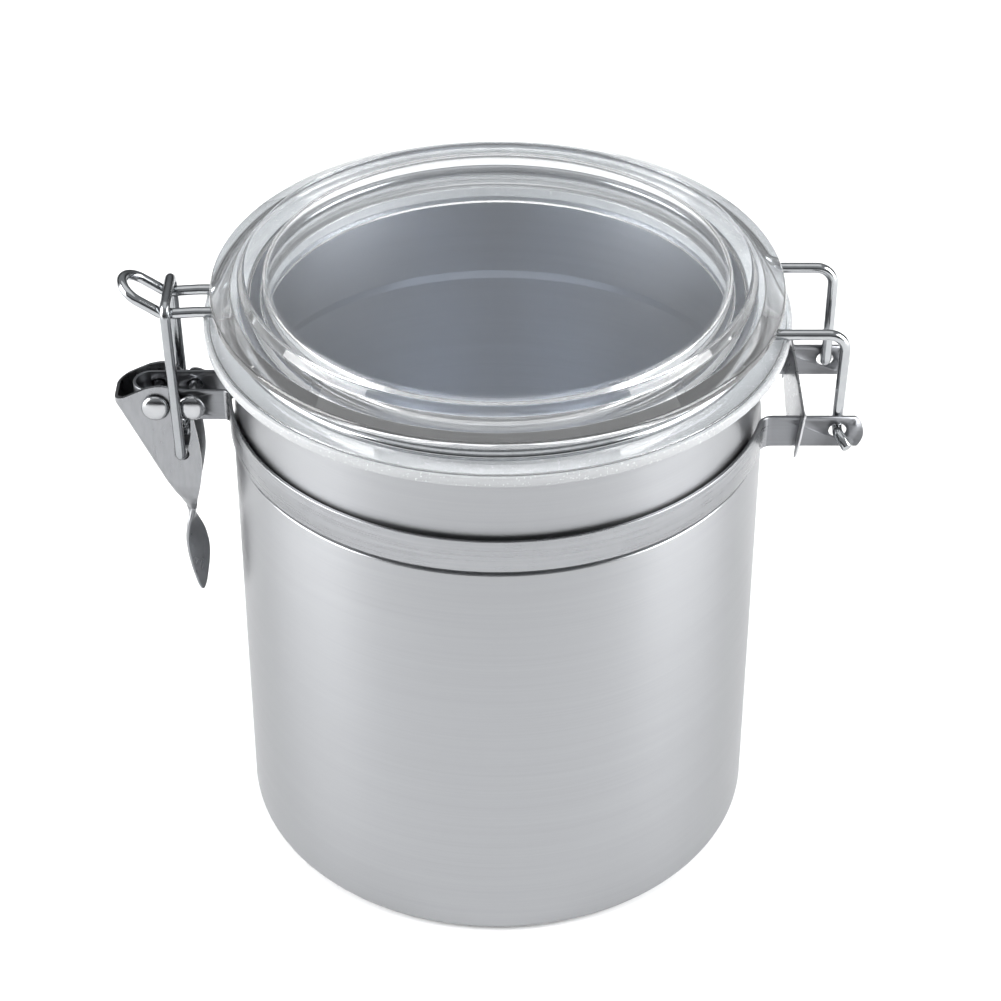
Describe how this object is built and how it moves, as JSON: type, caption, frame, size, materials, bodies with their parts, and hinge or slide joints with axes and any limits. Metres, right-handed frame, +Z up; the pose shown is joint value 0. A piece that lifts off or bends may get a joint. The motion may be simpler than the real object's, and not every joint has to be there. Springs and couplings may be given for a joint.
{
  "type": "clamp lid food canister",
  "caption": "Round stainless steel food canister with a hinged clear lid, a sealing gasket, a wire bail and an over-centre bail latch.",
  "frame": {"origin": "centre of the flat base", "axes": "+Z up the canister's axis, +X towards the hinge, -X towards the latch, hinge and latch pivots along Y"},
  "size_m": [0.1678, 0.1302, 0.1454],
  "materials": {
    "brushed_steel": "brushed round the body",
    "strip_steel": "brushed along the strip",
    "keeper_steel": "stamped sheet",
    "rivet_metal": "bright domed heads",
    "lever_steel": "stamped sheet, lightly worn",
    "loop_wire": "drawn wire, satin",
    "bail_wire": "drawn wire, polished",
    "clear_acrylic": "clear moulded acrylic",
    "white_silicone": "translucent white silicone"
  },
  "bodies": {
    "canister": {"canister_body": "brushed_steel", "neck_band": "strip_steel", "band_keeper": "keeper_steel", "pivot_rivet": "rivet_metal", "ear_rivet": "rivet_metal"},
    "lid": {"lid": "clear_acrylic", "lid_gasket": "white_silicone", "lid_bail": "bail_wire"},
    "lever": {"latch_lever": "lever_steel"},
    "loop": {"latch_loop": "loop_wire"}
  },
  "joints": [
    {"name": "lid_hinge", "type": "hinge", "parent": "canister", "child": "lid", "pos_m": [0.0755, 0, 0.1105], "axis": [0, 1, 0], "range_deg": [0, 200]},
    {"name": "lever_pivot", "type": "hinge", "parent": "canister", "child": "lever", "pos_m": [-0.077, 0, 0.1105], "axis": [0, 1, 0], "range_deg": [0, 130]},
    {"name": "loop_pivot", "type": "hinge", "parent": "lever", "child": "loop", "pos_m": [-0.07195, 0, 0.0977], "axis": [0, 1, 0], "range_deg": [-160, 0], "deforming": ["latch_loop"]}
  ],
  "couplings": [
    {"joint": "loop_pivot", "follows": "lever_pivot", "ratio": -1.23}
  ]
}
